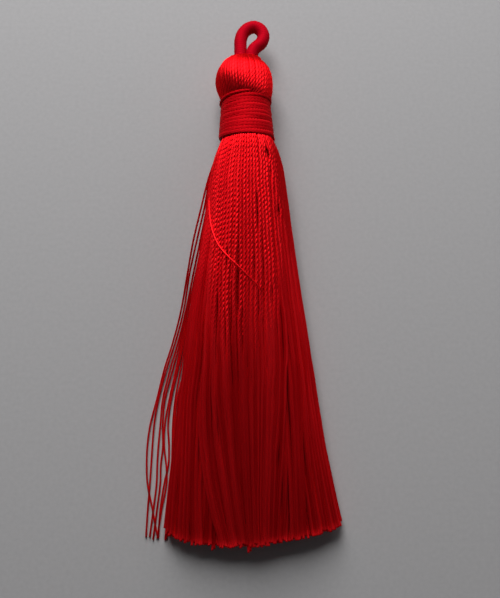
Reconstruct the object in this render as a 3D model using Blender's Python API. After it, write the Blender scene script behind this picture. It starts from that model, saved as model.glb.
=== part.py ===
"""Silk tassel, lying on its back on a flat surface.

One hank of thread is folded over a cord loop. The fold is the round head, a binding
thread holds the neck below it, and the cut threads spread into a flat skirt.
The head's centre is above the origin, +Y points to the hanging loop, -Y to the cut tips,
and the floor is z = 0. "Along" is the distance from the head's centre towards the tips.
"""
import math
import random
from collections import namedtuple

import bmesh
import bpy
from mathutils import Vector

MM = 0.001
GAP = 0.3 * MM                    # clearance between neighbouring pieces

# Head: the fold of the hank, a ball that sags a little onto the floor
HEAD_RADIUS = 5.35 * MM
HEAD_AXIS_Z = 5.1 * MM
HEAD_RIB = 0.09 * MM              # height of the thread ribs on the ball
SHOULDER_ALONG = 2.7 * MM         # where the ball turns in above the binding
CREASE = 0.1 * MM
NECK_RADIUS = 3.45 * MM           # at the shoulder
NECK_END_RADIUS = 3.9 * MM        # where the strands begin
NECK_END_ALONG = 9.8 * MM
NECK_AXIS_X = 0.45 * MM           # the neck stands a little to the right of the ball
NECK_AXIS_Z = 5.05 * MM
# How far along each ring of the ball lies, from the binding's side to the loop's
HEAD_RINGS = (1.9 * MM, 0.9 * MM, 0.0, -0.9 * MM, -2.2 * MM, -3.05 * MM, -3.75 * MM, -4.3 * MM)

# Skirt: a grid of strands, as many as COLUMNS x ROWS
COLUMNS = 24
ROWS = 8
RING_POINTS = 2 * (COLUMNS + ROWS)
STRAND_FILL = 0.8                 # share of its cell that a strand takes up
JITTER = 0.07                     # of a cell, how far a strand strays from its line
SEED = 11

TIP_LIFT = 0.12 * MM                # how far the cut ends stand off the floor

# The skirt's section at each distance along. flat runs from 0, a round bundle,
# to 1, a dome that lies on its flat side.
Section = namedtuple("Section", "along left right base top flat")
SKIRT = (
    Section(NECK_END_ALONG, NECK_AXIS_X - NECK_END_RADIUS, NECK_AXIS_X + NECK_END_RADIUS,
            NECK_AXIS_Z - NECK_END_RADIUS, NECK_AXIS_Z + NECK_END_RADIUS, 0.0),
    Section(11.4 * MM, -3.7 * MM, 4.6 * MM, 0.9 * MM, 9.2 * MM, 0.0),
    Section(14.2 * MM, -5.9 * MM, 6.3 * MM, 0.0, 9.9 * MM, 0.25),
    Section(26.0 * MM, -8.2 * MM, 8.1 * MM, 0.0, 9.2 * MM, 0.6),
    Section(50.0 * MM, -12.8 * MM, 11.3 * MM, 0.0, 7.0 * MM, 0.9),
    Section(79.0 * MM, -14.3 * MM, 16.0 * MM, TIP_LIFT, 5.3 * MM, 1.0),
)
DOME_SIDE = 0.5                   # how far the dome's sides lean in, 0 for upright
DOME_CROWN = 0.75                 # how far the dome's top falls towards its sides

# The cut: a shallow arc, ragged by a little, and stepped back under the skirt
TIP_ALONG = 80.0 * MM
TIP_CENTRE_X = -2.0 * MM
TIP_ARC_RADIUS = 43.0 * MM
TIP_RAGGED = 0.5 * MM
TIP_STEP_UNDER = 1.6 * MM
LONG_TIPS = {(9, 7): 1.0 * MM, (13, 7): 1.1 * MM}     # (column, row): how much longer
RESTING_TIPS = ((0, 0), (COLUMNS - 1, 0))             # the outermost ends lie on the floor

# The loose strands that left the skirt's left side: the first column of the grid.
# outer is the outermost strand's x; the next ones lie pitch further in and rise higher.
Stray = namedtuple("Stray", "along outer pitch rise")
LOOSE = (
    Stray(26.0 * MM, -8.8 * MM, 0.05 * MM, 0.95 * MM),
    Stray(42.0 * MM, -11.6 * MM, 0.1 * MM, 0.6 * MM),
    Stray(56.0 * MM, -14.6 * MM, 0.25 * MM, 0.2 * MM),
    Stray(67.0 * MM, -16.4 * MM, 0.33 * MM, 0.03 * MM),
    Stray(78.0 * MM, -16.0 * MM, 0.33 * MM, 0.0),
)
LOOSE_HALF = 0.14 * MM

# One short strand that lies across the top of the skirt: its route over the dome
CROSSING_CELL = (2, 7)
CROSSING_HALF = 0.19 * MM
CROSSING_LIFT = 0.46 * MM
Over = namedtuple("Over", "along x")
CROSSING = (
    Over(18.0 * MM, -5.2 * MM),
    Over(22.4 * MM, -6.2 * MM),
    Over(27.0 * MM, -6.0 * MM),
    Over(30.7 * MM, -5.1 * MM),
    Over(33.6 * MM, -2.95 * MM),
    Over(36.1 * MM, -0.5 * MM),
    Over(39.4 * MM, 3.5 * MM),
)

# Binding: a wound band, a little wider towards the skirt, its first turn standing proud.
# Its bore follows the neck and flares where the strands begin to spread.
WRAP_START = 3.1 * MM
WRAP_END = 11.1 * MM
WRAP_TURNS = 14
WRAP_SIDES = 36
WRAP_TOP_RADIUS = 4.42 * MM
WRAP_BOTTOM_RADIUS = 4.87 * MM
WRAP_GROOVE = 0.1 * MM
WRAP_LIP = 0.12 * MM
WRAP_FLARE = 0.25 * MM

# Hanging loop: a round cord, its two legs side by side in the head
CORD_RADIUS = 1.1 * MM
LEG_HALF_GAP = 1.15 * MM
LEG_MID_X = 0.6 * MM
LOOP_SIDES_RESOLUTION = 4
LOOP_STEPS = 4
POCKET_MOUTH_Y = 4.6 * MM
POCKET_FLOOR_Y = 2.4 * MM
# The cord's route, from one leg's end to the other's; drop is below the head's axis.
Route = namedtuple("Route", "x y drop")
LOOP_ROUTE = (
    Route(LEG_MID_X - LEG_HALF_GAP, POCKET_FLOOR_Y + GAP, 0.0),
    Route(LEG_MID_X - LEG_HALF_GAP, 5.0 * MM, 0.0),
    Route(-0.57 * MM, 7.0 * MM, 0.05 * MM),
    Route(-0.55 * MM, 8.8 * MM, 0.15 * MM),
    Route(-0.1 * MM, 10.4 * MM, 0.3 * MM),
    Route(0.85 * MM, 11.45 * MM, 0.4 * MM),
    Route(2.0 * MM, 11.8 * MM, 0.45 * MM),
    Route(3.05 * MM, 11.2 * MM, 0.4 * MM),
    Route(3.65 * MM, 9.9 * MM, 0.3 * MM),
    Route(3.45 * MM, 8.4 * MM, 0.15 * MM),
    Route(2.6 * MM, 7.0 * MM, 0.05 * MM),
    Route(1.85 * MM, 5.6 * MM, 0.0),
    Route(LEG_MID_X + LEG_HALF_GAP, 4.4 * MM, 0.0),
    Route(LEG_MID_X + LEG_HALF_GAP, POCKET_FLOOR_Y + GAP, 0.0),
)

# The bundle's corners sit where an even ring has them, so head and skirt share a ring
CORNER = math.radians(90.0 - 180.0 * COLUMNS / RING_POINTS)


def clear_scene():
    """Start from an empty scene."""
    for old in list(bpy.data.objects):
        bpy.data.objects.remove(old, do_unlink=True)


def silk(name, colour, roughness):
    """A silk-red surface."""
    material = bpy.data.materials.new(name)
    material.use_nodes = True
    shader = material.node_tree.nodes["Principled BSDF"]
    shader.inputs["Base Color"].default_value = (*colour, 1.0)
    shader.inputs["Roughness"].default_value = roughness
    shader.inputs["Metallic"].default_value = 0.0
    return material


def mix(a, b, share):
    """The value a share of the way from a to b."""
    return a + (b - a) * share


def section_at(along):
    """The skirt's section at any distance, straight between the table's rows."""
    for near, far in zip(SKIRT, SKIRT[1:]):
        if along <= far.along or far is SKIRT[-1]:
            share = (along - near.along) / (far.along - near.along)
            return Section(*(mix(a, b, share) for a, b in zip(near, far)))


def skirt_point(u, v, section):
    """Where a point of the bundle lies in a section. u runs from the left edge, -1, to
    the right edge, 1, and v from the underside, -1, to the top, 1."""
    round_x = u * math.sqrt(1.0 - (v * math.sin(CORNER)) ** 2)
    round_z = 0.5 + 0.5 * v * math.sqrt(1.0 - (u * math.cos(CORNER)) ** 2)
    level = 0.5 + 0.5 * v
    dome_x = u * math.sqrt(1.0 - DOME_SIDE * level * level)
    dome_z = level * math.sqrt(1.0 - DOME_CROWN * u * u)
    middle = 0.5 * (section.left + section.right)
    half = 0.5 * (section.right - section.left)
    return Vector((
        middle + half * mix(round_x, dome_x, section.flat),
        -section.along,
        section.base + (section.top - section.base) * mix(round_z, dome_z, section.flat),
    ))


def top_height(x, section):
    """The height of the skirt's top surface above a place in a section."""
    middle = 0.5 * (section.left + section.right)
    half = 0.5 * (section.right - section.left)
    reach = mix(math.cos(CORNER), math.sqrt(1.0 - DOME_SIDE), section.flat)
    u = max(-1.0, min(1.0, (x - middle) / (half * reach)))
    return skirt_point(u, 1.0, section).z


def tip_along(x, row, rng):
    """How far along a strand is cut."""
    sideways = x - TIP_CENTRE_X
    arc = TIP_ARC_RADIUS - math.sqrt(TIP_ARC_RADIUS ** 2 - sideways ** 2)
    under = TIP_STEP_UNDER * (1.0 - row / (ROWS - 1))
    return TIP_ALONG - arc - under + rng.uniform(-TIP_RAGGED, 0.0)


def even_ring(y, radius, axis_x, axis_z, rib=0.0):
    """A ring of evenly spaced points round an axis along Y, kept above the floor."""
    points = []
    for k in range(RING_POINTS):
        angle = math.radians(-90.0) + (k - COLUMNS / 2) * 2.0 * math.pi / RING_POINTS
        reach = radius + (rib if k % 2 else -rib)
        height = max(0.0, axis_z + reach * math.sin(angle))
        points.append(Vector((axis_x + reach * math.cos(angle), y, height)))
    return points


def pocket_ring(y):
    """A ring round both legs of the hanging loop."""
    points = []
    reach = CORD_RADIUS + GAP
    for k in range(RING_POINTS):
        angle = math.radians(-90.0) + (k - COLUMNS / 2) * 2.0 * math.pi / RING_POINTS
        side = math.copysign(LEG_HALF_GAP, math.cos(angle))
        x = LEG_MID_X + side + reach * math.cos(angle)
        points.append(Vector((x, y, HEAD_AXIS_Z + reach * math.sin(angle))))
    return points


def join_ring(bm, front, points):
    """Add a ring behind another and the faces between them."""
    back = [bm.verts.new(point) for point in points]
    count = len(back)
    for k in range(count):
        nxt = (k + 1) % count
        bm.faces.new((front[k], back[k], back[nxt], front[nxt]))
    return back


def cell_corners(column, row, fill, level_bottom=False):
    """The (u, v) corners of a strand in its cell, anticlockwise seen from the tips."""
    wide, high = 2.0 / COLUMNS, 2.0 / ROWS
    left, right = -1.0 + wide * column, -1.0 + wide * (column + 1)
    low, top = -1.0 + high * row, -1.0 + high * (row + 1)
    side = 0.5 * (1.0 - fill)
    left, right = left + side * wide, right - side * wide
    if level_bottom:
        top -= 2.0 * side * high
    else:
        low, top = low + side * high, top - side * high
    return (left, low), (right, low), (right, top), (left, top)


def square_at(x, y, z, half):
    """The four corners of a strand's section round a point of its route."""
    return [Vector((x + half * sx, y, z + half * sz))
            for sx, sz in ((-1, -1), (1, -1), (1, 1), (-1, 1))]


def strand_sections(column, row, rng):
    """The corner points of a strand at each section after its root."""
    corners = cell_corners(column, row, STRAND_FILL, level_bottom=True)
    loose = column == 0
    crossing = (column, row) == CROSSING_CELL
    rows = SKIRT[1:3] if loose or crossing else SKIRT[1:]
    sections = []
    for section in rows:
        shift_u = rng.uniform(-JITTER, JITTER) * 2.0 / COLUMNS
        shift_v = rng.uniform(0.0, JITTER) * 2.0 / ROWS if row else 0.0
        middle = skirt_point(corners[0][0], corners[0][1], section)
        along = section.along
        if section is SKIRT[-1]:
            along = tip_along(middle.x, row, rng) + LONG_TIPS.get((column, row), 0.0)
        placed = section_at(along)
        sections.append([skirt_point(u + shift_u, v + shift_v, placed) for u, v in corners])
    if loose:
        for stray in LOOSE:
            x = stray.outer + stray.pitch * row
            along = stray.along
            if stray is LOOSE[-1]:
                along += rng.uniform(-2.0, 2.0) * TIP_RAGGED
            z = TIP_LIFT + LOOSE_HALF + stray.rise * row
            sections.append(square_at(x, -along, z, LOOSE_HALF))
    if crossing:
        for place in CROSSING:
            z = top_height(place.x, section_at(place.along)) + CROSSING_LIFT
            sections.append(square_at(place.x, -place.along, z, CROSSING_HALF))
    if (column, row) in RESTING_TIPS:
        lowest = min(point.z for point in sections[-1])
        for point in sections[-1]:
            point.z -= lowest
    return sections


def grow_strand(bm, face, sections):
    """Extrude a cell's face into a strand through its sections."""
    for points in sections:
        face = bmesh.ops.extrude_discrete_faces(bm, faces=[face])["faces"][0]
        for vert, point in zip(face.verts, points):
            vert.co = point


def build_skein():
    """Head, neck and strands as one closed body."""
    bm = bmesh.new()
    root = SKIRT[0]
    grid = [[bm.verts.new(skirt_point(2.0 * i / COLUMNS - 1.0, 2.0 * j / ROWS - 1.0, root))
             for j in range(ROWS + 1)] for i in range(COLUMNS + 1)]
    cells = {}
    for i in range(COLUMNS):
        for j in range(ROWS):
            cells[i, j] = bm.faces.new(
                (grid[i][j], grid[i + 1][j], grid[i + 1][j + 1], grid[i][j + 1]))

    rim = [grid[i][0] for i in range(COLUMNS)]
    rim += [grid[COLUMNS][j] for j in range(ROWS)]
    rim += [grid[i][ROWS] for i in range(COLUMNS, 0, -1)]
    rim += [grid[0][j] for j in range(ROWS, 0, -1)]
    neck_top = even_ring(-SHOULDER_ALONG - CREASE, NECK_RADIUS, NECK_AXIS_X, NECK_AXIS_Z)
    ring = join_ring(bm, rim, neck_top)
    shoulder = math.sqrt(HEAD_RADIUS ** 2 - SHOULDER_ALONG ** 2)
    ring = join_ring(bm, ring, even_ring(-SHOULDER_ALONG, shoulder, 0.0, HEAD_AXIS_Z))
    for along in HEAD_RINGS:
        radius = math.sqrt(HEAD_RADIUS ** 2 - along ** 2)
        ring = join_ring(bm, ring, even_ring(-along, radius, 0.0, HEAD_AXIS_Z, HEAD_RIB))
    ring = join_ring(bm, ring, pocket_ring(POCKET_MOUTH_Y))
    ring = join_ring(bm, ring, pocket_ring(POCKET_FLOOR_Y))
    bm.faces.new(reversed(ring))

    bmesh.ops.inset_individual(bm, faces=list(cells.values()), thickness=0.02 * MM)
    rng = random.Random(SEED)
    for (column, row), face in cells.items():
        for vert, (u, v) in zip(face.verts, cell_corners(column, row, STRAND_FILL)):
            vert.co = skirt_point(u, v, root)
        grow_strand(bm, face, strand_sections(column, row, rng))
    return finish_mesh(bm, "skein", silk("silk_thread", (0.62, 0.005, 0.01), 0.38))


def build_wrap():
    """The wound band: a closed ring with a shallow groove between its turns."""
    start, end = WRAP_START, WRAP_END
    profile = []
    for step in range(2 * WRAP_TURNS + 1):
        share = step / (2 * WRAP_TURNS)
        radius = mix(WRAP_TOP_RADIUS, WRAP_BOTTOM_RADIUS, share)
        if step % 2 == 0:
            radius -= WRAP_GROOVE
        elif step == 1:
            radius += WRAP_LIP
        profile.append((mix(start, end, share), radius))
    profile.append((end, NECK_END_RADIUS + GAP + WRAP_FLARE))
    profile.append((start, NECK_RADIUS + GAP))

    bm = bmesh.new()
    rings = []
    for along, radius in reversed(profile):
        ring = []
        for k in range(WRAP_SIDES):
            angle = 2.0 * math.pi * k / WRAP_SIDES
            ring.append(bm.verts.new((NECK_AXIS_X + radius * math.cos(angle), -along,
                                      NECK_AXIS_Z + radius * math.sin(angle))))
        rings.append(ring)
    for front, back in zip(rings, rings[1:] + rings[:1]):
        for k in range(WRAP_SIDES):
            nxt = (k + 1) % WRAP_SIDES
            bm.faces.new((front[k], back[k], back[nxt], front[nxt]))
    return finish_mesh(bm, "neck_wrap", silk("silk_binding", (0.5, 0.004, 0.01), 0.45))


def smooth_route(points, steps):
    """A smooth curve through the points, with a few steps between each two."""
    ends = [2 * points[0] - points[1]] + points + [2 * points[-1] - points[-2]]
    smooth = []
    for a, b, c, d in zip(ends, ends[1:], ends[2:], ends[3:]):
        for step in range(steps):
            t = step / steps
            smooth.append(0.5 * ((2 * b) + (c - a) * t + (2 * a - 5 * b + 4 * c - d) * t ** 2
                                 + (3 * b - a - 3 * c + d) * t ** 3))
    return smooth + [points[-1]]


def build_loop():
    """The cord loop, as a tube along its route."""
    curve = bpy.data.curves.new("hanging_loop", "CURVE")
    curve.dimensions = "3D"
    curve.bevel_depth = CORD_RADIUS
    curve.bevel_resolution = LOOP_SIDES_RESOLUTION
    curve.use_fill_caps = True
    places = [Vector((stop.x, stop.y, HEAD_AXIS_Z - stop.drop)) for stop in LOOP_ROUTE]
    route = smooth_route(places, LOOP_STEPS)
    spline = curve.splines.new("POLY")
    spline.points.add(len(route) - 1)
    for place, point in zip(spline.points, route):
        place.co = (*point, 1.0)
    loop = bpy.data.objects.new("hanging_loop", curve)
    bpy.context.collection.objects.link(loop)
    curve.materials.append(silk("silk_cord", (0.45, 0.004, 0.012), 0.4))
    return loop


def finish_mesh(bm, name, material):
    """Turn a bmesh into a named object with its material."""
    bm.normal_update()
    mesh = bpy.data.meshes.new(name)
    bm.to_mesh(mesh)
    bm.free()
    mesh.materials.append(material)
    mesh.shade_smooth()
    mesh.set_sharp_from_angle(angle=math.radians(40.0))
    made = bpy.data.objects.new(name, mesh)
    bpy.context.collection.objects.link(made)
    return made


def main():
    """Build the tassel's three pieces and hold them together."""
    clear_scene()
    tassel = bpy.data.objects.new("tassel", None)
    bpy.context.collection.objects.link(tassel)
    for piece in (build_skein(), build_wrap(), build_loop()):
        piece.parent = tassel


main()
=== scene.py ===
"""Silk tassel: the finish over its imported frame.

Lengths in the tables are millimetres in the frame's axes: +Y to the hanging loop, +X to
the right, +Z up from the floor, the head's centre above the origin. "Along" is the
distance from the head's centre towards the cut tips, so y = -along.
"""

import math
from collections import namedtuple

import bpy
import numpy as np
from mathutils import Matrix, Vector


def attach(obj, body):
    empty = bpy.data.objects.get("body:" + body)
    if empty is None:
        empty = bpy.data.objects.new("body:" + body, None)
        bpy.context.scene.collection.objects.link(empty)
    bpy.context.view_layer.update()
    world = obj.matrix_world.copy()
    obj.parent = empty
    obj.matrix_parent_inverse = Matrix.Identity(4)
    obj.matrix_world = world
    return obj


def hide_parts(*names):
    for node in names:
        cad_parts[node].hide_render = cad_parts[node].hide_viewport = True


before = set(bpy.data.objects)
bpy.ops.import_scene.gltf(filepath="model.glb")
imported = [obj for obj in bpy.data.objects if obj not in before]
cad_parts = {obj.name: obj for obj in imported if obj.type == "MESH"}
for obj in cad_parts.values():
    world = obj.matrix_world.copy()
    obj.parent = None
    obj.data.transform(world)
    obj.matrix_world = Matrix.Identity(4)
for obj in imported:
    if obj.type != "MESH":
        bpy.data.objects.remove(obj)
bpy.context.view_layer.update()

MM = 0.001
SEED = 23
UP = np.array((0.0, 0.0, 1.0))

# ---------------------------------------------------------------- the tassel's sizes
# Skirt: its section at each distance along. middle is the height of the widest part as
# a share of the section's height.
Section = namedtuple("Section", "along left right base top middle")
SKIRT = (
    Section(8.6, -3.05, 4.1, 1.55, 8.5, 0.5),
    Section(10.4, -3.35, 4.6, 1.2, 9.25, 0.5),
    Section(11.5, -3.75, 5.1, 0.95, 9.5, 0.49),
    Section(12.4, -4.1, 5.6, 0.75, 9.66, 0.49),
    Section(14.5, -4.85, 6.35, 0.38, 9.55, 0.475),
    Section(17.0, -5.5, 6.85, 0.27, 9.4, 0.445),
    Section(20.0, -6.05, 7.2, 0.23, 9.21, 0.385),
    Section(23.0, -6.3, 7.55, 0.22, 8.98, 0.33),
    Section(26.0, -6.6, 7.85, 0.22, 8.73, 0.285),
    Section(32.0, -7.35, 8.65, 0.22, 8.22, 0.235),
    Section(39.5, -8.4, 9.6, 0.22, 7.58, 0.22),
    Section(46.8, -9.3, 10.75, 0.22, 7.04, 0.215),
    Section(51.1, -9.8, 11.45, 0.22, 6.68, 0.22),
    Section(56.2, -10.55, 12.15, 0.22, 6.18, 0.22),
    Section(64.2, -11.3, 13.45, 0.22, 5.4, 0.235),
    Section(71.8, -12.05, 14.95, 0.22, 4.75, 0.25),
    Section(76.0, -12.45, 15.85, 0.22, 4.4, 0.25),
    Section(82.0, -12.8, 16.9, 0.22, 3.97, 0.25),
)
TOP_POWER = (2.0, 2.2)            # of the superellipse above the widest part, neck and tips
UNDER_POWER = (2.0, 4.0)          # and below it
POWER_SPREAD = (10.0, 40.0)       # along, where the powers start and end their change

# How the threads lie in the bundle: station by station they follow one another, drift a
# little and push one another apart
THREADS = 350
SKIRT_PIECES = 5                  # the meshes that they are joined in, from left to right
NECK_RINGS = 9                    # the rings of threads in the tied neck
STATION_FIRST = 8.6
STATION_LAST = 81.5
STATION_STEP = 1.6
ROOT_LENGTH = 0.6                 # how far beyond the first station the threads start
WANDER = 0.004                    # how much a thread drifts from its neighbours a station
WANDER_FROM = 12.0                # along, where that begins
DRIFT_KEPT = 0.8                  # the share of the drift that goes on at the next station
RELAX_STEPS = 30
PUSH = 0.4                        # how hard crowded threads push
PULL = 0.06                       # and how hard each is drawn back to its own place
ROOM = 1.08                       # the spacing they push for, as a share of the even one
SMOOTH_STEPS = 20
ROW_SPACING = 0.866               # from row to row where threads pack closest
HIDES_WITHIN = 0.38               # a thread this near in one direction
HIDES_BEYOND = 0.05               # and this much further out hides the one behind it

# The cut: how far along the threads end, from the left edge to the right one
Cut = namedtuple("Cut", "x along")
CUT = (
    Cut(-13.0, 77.9), Cut(-11.2, 78.9), Cut(-8.5, 79.5), Cut(-6.0, 79.8), Cut(1.2, 79.8),
    Cut(8.0, 78.9), Cut(14.6, 77.7), Cut(15.9, 77.0),
)
CUT_RAGGED = 0.18
CUT_STATION = -3                  # the station by the cut ends, counted from the last
CUT_UNDER = 1.5                   # how much shorter the undermost threads are
CUT_UNDER_Z = 4.0                 # the height from which none is shorter
LONG_TIPS = ((-4.6, 0.9), (1.1, 1.1))    # x, and how far beyond the cut one thread ends there
LONG_TIP_REACH = 3.0              # how much more its place counts than its height
FLARE = 0.22                      # how far a cut end springs out of the bundle
FLARE_LENGTH = 1.9
FLARE_Z = 3.0                     # the height from which it springs all of that
FLARE_ALONG = 66.0                # where its direction is taken
TIP_THIN = 0.9                    # how thin a thread is at its end
TIP_THIN_LENGTH = 2.0
TIP_RINGS_LESS = 3                # a ply stops fewer rings than this before its end

# Thread: two plies, twisted to the right, which loosen and fray towards the tips.
# These are for threads laid THREAD_PITCH apart; where they lie looser they swell.
THREAD_PITCH = 0.5
PLY_RADIUS = 0.28
PLY_OFFSET = 0.018
TWIST_PITCH = 1.75
TWIST_VARIES = 0.05               # how much the pitch differs from thread to thread
LAY = -1.0                        # how far a ply's strands stand out, signed by their fibres' lean
CALM = (0.55, 2.0, 6.5)           # the share of it that is lost between two x, to the right
CALM_ALONG = 20.0                 # where these x are read
LOOSE_PITCH = 60.0
LOOSENS_X = (-8.5, -5.5, -2.0, 2.5, 6.0, 9.0)
LOOSENS_AT = (24.0, 37.0, 46.0, 47.0, 36.0, 22.0)   # along, where the twist is lost, by x
LOOSENS_ALONG = 32.0              # where these x are read
LOOSENS_SPREAD = 6.0              # how much it differs from thread to thread
LOOSENS_OVER = (-8.0, 10.0)       # from where to where, about that place, it is lost
FRAY_OFFSET = 0.15
FRAY_WIDE = 0.185                 # a loosened ply is a flat lock of fibres
FRAY_THIN = 0.08
FRAY_TURNS = (40.0, 55.0)         # along, where the locks turn from level to face outwards
SIDES = (0.5, 0.95)               # shares of the half width between which its sides begin
SIDES_SWELL = 0.5                 # how much broader the locks are there
SIDES_STOUT = 1.3                 # how much thicker
SIDES_EVEN = 0.6                  # and how much less their shades differ
STRAND_COUNT = 4                  # the strands that show round a twisted ply
STRAND_STEP = 0.875               # from one to the next along it
STRAND_DEPTH = 0.014
FIBRE_TURN = -0.04                # how far the fibres lean in them, in turns, where lay is 1
FIBRE_DEPTH = 0.006
FIBRE_STRETCH = (7.0, 0.5, 1.0)   # how fine they are round a thread, and along it
SILK_TINT = (1.0, 0.12, 0.14)     # of the silk's gloss where it is seen edge on

# Shades, from 0, the darkest thread, to 1, the lightest
THREAD_SHADE = (0.35, 0.65)
LOCK_SHADE = 0.45                 # how much a loosened lock's own shade differs from that
SHADE_WAVE = 0.12                 # how much each goes up and down along its length
SHADE_WAVE_RATE = (0.1, 0.4)
CUT_PAINTED_LIGHT = 0.9                   # painted highlight: how much lighter the cut ends are painted, for the light their frayed fibres catch
CUT_PAINTED_LIGHT_LENGTH = 1.3

# Rings: how far apart they are along a thread
FINE_STEP = 0.23                  # where it is twisted
LONG_STEP = 0.9                   # where it is loosened
HIDDEN_STEP = 3.2                 # where others hide it
FINE_TO_LONG = (40.0, 52.0)       # along, where the first gives way to the second
END_RINGS = (1.9, 1.2, 0.7, 0.35, 0.15, 0.0)    # before the cut end
PLY_SIDES, HIDDEN_SIDES = 6, 4

# Grooves, where the threads stand apart: x and along at each end, and the parting
Groove = namedtuple("Groove", "x_from along_from x_to along_to parting")
GROOVES = (
    Groove(4.0, 12.4, 4.05, 13.9, 0.1), Groove(4.05, 13.9, 4.15, 15.3, 0.46),
    Groove(4.15, 15.7, 4.6, 17.4, 0.08), Groove(4.6, 17.4, 6.1, 24.4, 0.14),
    Groove(6.1, 24.4, 6.8, 29.5, 0.16), Groove(2.3, 22.1, 2.75, 28.6, 0.17),
    Groove(-2.48, 31.5, -2.47, 35.5, 0.16), Groove(-0.9, 33.0, -0.8, 40.0, 0.18),
    Groove(2.0, 34.0, 2.2, 37.6, 0.12), Groove(-6.1, 40.0, -5.9, 45.0, 0.11),
    Groove(-4.2, 41.0, -4.2, 52.0, 0.06), Groove(2.3, 40.5, 3.1, 43.6, 0.12),
    Groove(3.1, 43.6, 4.0, 52.0, 0.17), Groove(5.0, 38.5, 5.6, 45.5, 0.13),
    Groove(6.1, 42.5, 7.3, 54.0, 0.18), Groove(-2.9, 44.0, -2.9, 49.0, 0.1),
    Groove(-0.4, 43.0, 0.8, 52.0, 0.15), Groove(-7.4, 47.0, -7.9, 58.0, 0.11),
    Groove(-5.4, 52.0, -5.9, 66.0, 0.08), Groove(-2.2, 53.0, -2.4, 62.0, 0.12),
    Groove(1.6, 54.0, 2.0, 68.0, 0.13), Groove(5.0, 55.0, 5.6, 66.0, 0.12),
    Groove(8.6, 52.0, 9.9, 66.0, 0.06), Groove(-9.6, 58.0, -10.3, 72.0, 0.02),
    Groove(-3.9, 62.0, -4.1, 76.0, 0.074), Groove(-0.6, 64.0, -0.8, 77.0, 0.087),
    Groove(3.4, 66.0, 3.8, 77.0, 0.074), Groove(7.4, 64.0, 8.1, 77.0, 0.05),
    Groove(11.0, 60.0, 12.2, 75.0, 0.04), Groove(-7.8, 66.0, -8.1, 77.0, 0.02),
)
GROOVE_REACH = 0.9                # how far the parting of the threads fades out sideways
GROOVE_HALF = 0.15                # half the width in which it turns from left to right
GROOVE_FULL = 0.5                 # how high up the bundle's upper half they part fully
GROOVE_ENDS = 0.1                 # how far it runs on past both ends, as a share of its length

# The loose threads on the skirt's left: x at each distance along, outermost first
LOOSE_ALONG = (14.0, 18.5, 23.2, 28.7, 35.0, 41.2, 46.8, 51.1, 56.2, 60.4, 64.2, 67.0, 69.4,
               74.2, 78.4)
LOOSE_X = (
    (-4.6, -6.15, -7.3, -8.6, -9.7, -10.75, -12.15, -13.45, -14.6, -15.6, -16.0, -16.0, -15.85,
     -14.8, -13.9),
    (-4.5, -5.9, -6.75, -8.0, -9.35, -10.3, -11.75, -13.1, -14.35, -14.95, -15.15, -15.25, -15.35,
     -15.6, -15.75),
    (-4.4, -5.7, -6.35, -7.4, -8.7, -9.9, -11.25, -12.45, -13.6, -13.9, -14.15, -14.25, -14.25,
     -14.7, -15.15),
    (-4.3, -5.5, -6.15, -7.0, -8.3, -9.6, -10.9, -12.0, -13.25, -13.5, -13.4, -13.65, -13.65,
     -14.1, -14.55),
    (-4.25, -5.4, -6.0, -6.8, -8.0, -9.25, -10.6, -11.45, -12.5, -13.15, -13.15, -12.75, -12.6,
     -13.35, -13.9),
    (-4.2, -5.2, -5.8, -6.6, -7.75, -9.0, -10.3, -11.15, -12.2, -12.6, -12.35, -12.4, -12.9,
     -13.55, -13.75),
    (-4.1, -5.0, -5.65, -6.4, -7.5, -8.65, -9.95, -10.65, -11.5, -11.8, -11.8, -11.85, -12.0,
     -12.3, -12.6),
    (-4.0, -4.85, -5.45, -6.25, -7.3, -8.35, -9.4, -10.0, -11.2, -11.5, -11.5, -11.65, -11.8,
     -12.15, -12.4),
)
LOOSE_Z = (6.0, 5.2, 4.4, 3.5, 2.4, 1.5, 0.9, 0.6, 0.4, 0.3, 0.25, 0.25, 0.25, 0.25, 0.25)
LOOSE_RADIUS = (0.17, 0.15)       # at the skirt and at the tips
LOOSE_SHADE = (0.2, (0.7, 1.3))   # at the skirt, and its range at the tips, where painted light makes them lighter for the light they take from the floor and through their fibres
LOOSE_FREE = (35.0, 60.0)         # along, where the first gives way to the second
LOOSE_RAGGED = 0.6
LOOSE_STEP = 0.3
LOOSE_SIDES = 6

# One thread that lies across the top of the skirt: x and along
CROSSING = (
    (-3.4, 11.2), (-4.4, 14.5), (-5.3, 18.0), (-5.85, 22.0), (-5.68, 25.8), (-5.05, 28.8),
    (-3.86, 31.5), (-2.4, 33.3), (-0.6, 35.1), (1.4, 37.1), (3.1, 38.8),
)
CROSSING_RADIUS = 0.115
CROSSING_RISE = 0.58              # of its centre over the bundle's outline
CROSSING_FADE = (11.0, 2.0)       # before its end, where it starts and stops to thin
CROSSING_END = (0.78, 0.85)       # its thickness and shade at the end, as shares
CROSSING_SIDEWAYS = 0.98          # of the half width: its height is read no further out
CROSSING_STEP = 0.28
CROSSING_SIDES = 8

FLOOR_GAP = 0.02                  # between the floor and what lies on it
FLOOR_SIZE, FLOOR_MIDDLE = 1200.0, -35.0    # how broad and long, and its middle's y

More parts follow.
